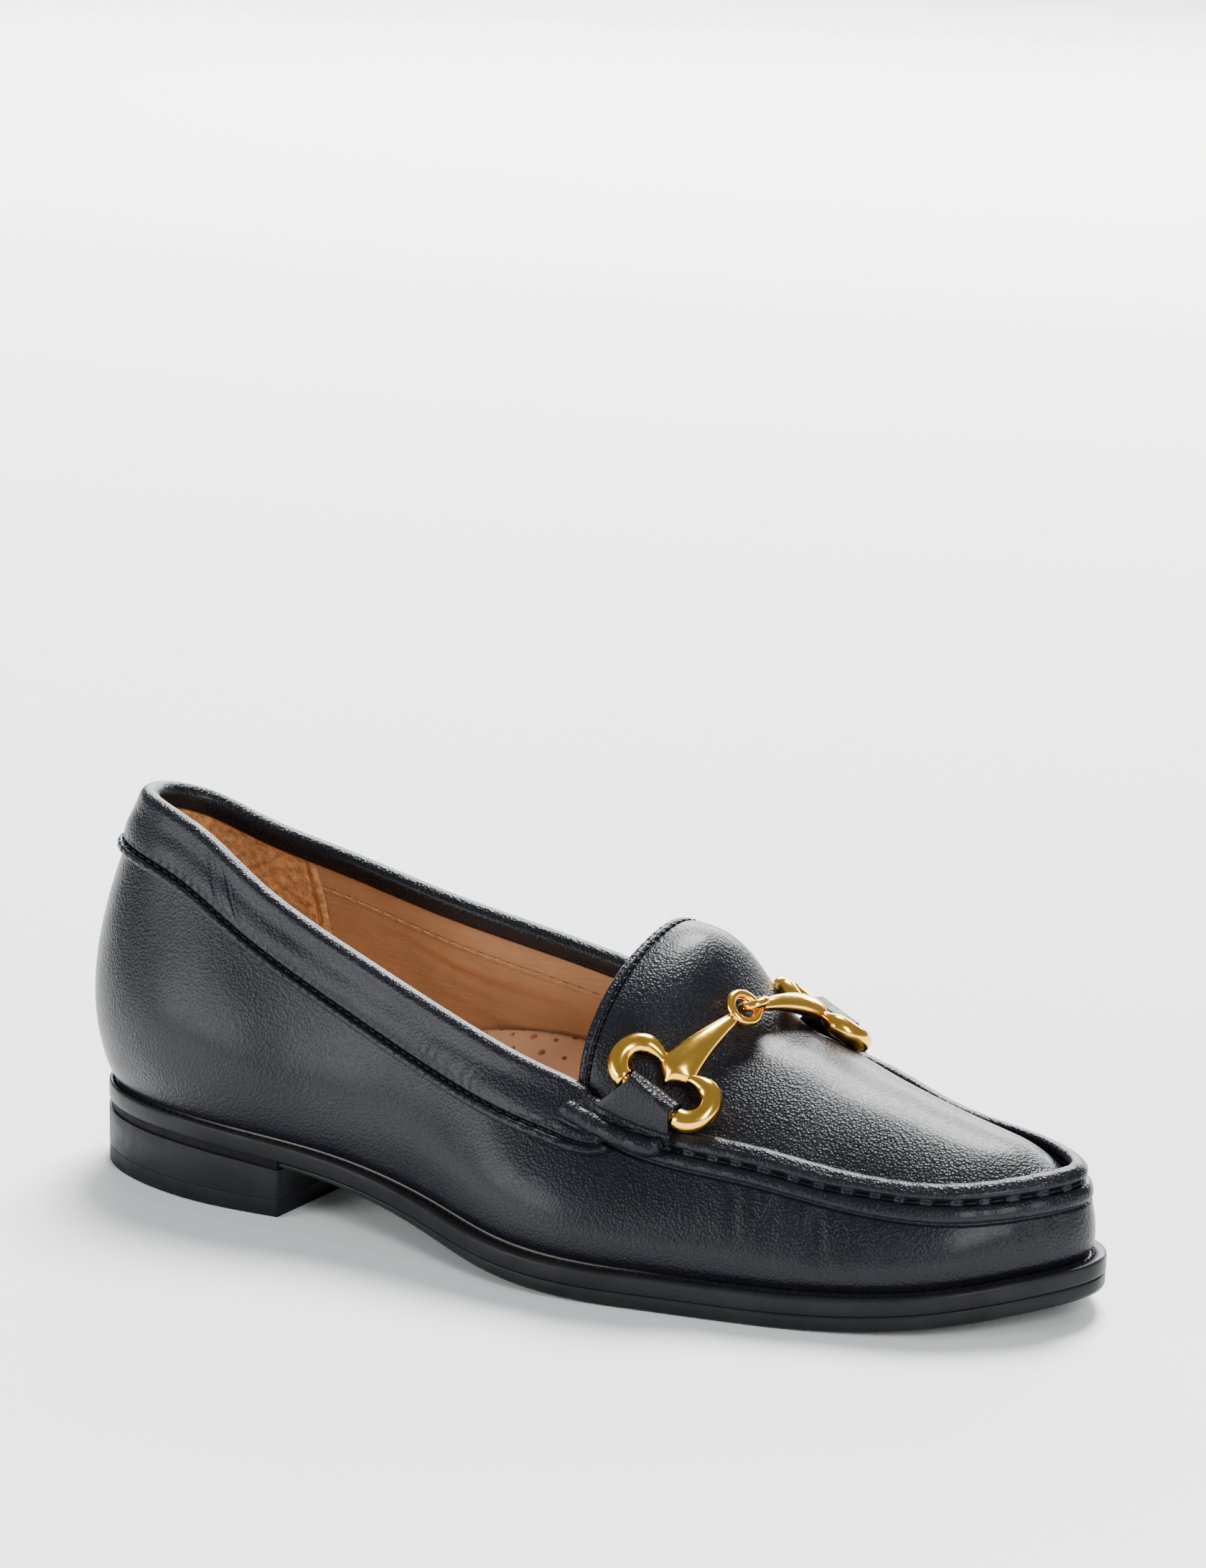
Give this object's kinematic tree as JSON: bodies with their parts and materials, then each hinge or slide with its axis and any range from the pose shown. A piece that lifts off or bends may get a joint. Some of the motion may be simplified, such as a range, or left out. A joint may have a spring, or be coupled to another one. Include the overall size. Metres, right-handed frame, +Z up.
{
  "type": "block heel loafer",
  "caption": "Women's black leather loafer with moccasin toe, folded collar band, gold-tone two-piece snaffle, tan lining and low block heel",
  "frame": {"origin": "centre of the heel's flat underside, on the floor", "axes": "+X from heel to toe, +Y to the wearer's left (the medial side), +Z up"},
  "size_m": [0.2579, 0.0912, 0.0865],
  "materials": {
    "sole": "satin black",
    "rand": "matt black",
    "heel": "black edge-painted stacked heel",
    "top_lift": "matt black",
    "sock": "smooth tan",
    "upper_leather": "smooth black calf, soft satin",
    "bit": "polished gold tone"
  },
  "bodies": {
    "root": {"midsole": "sole", "outsole": "sole", "heel_rand": "rand", "heel_block": "heel", "top_lift": "top_lift", "insole": "sock", "upper": "upper_leather", "apron": "upper_leather", "collar_band": "upper_leather", "back_seam": "upper_leather", "bit_tab_lateral": "upper_leather", "bit_tab_medial": "upper_leather", "bit_lateral": "bit", "bit_medial": "bit"}
  },
  "joints": []
}
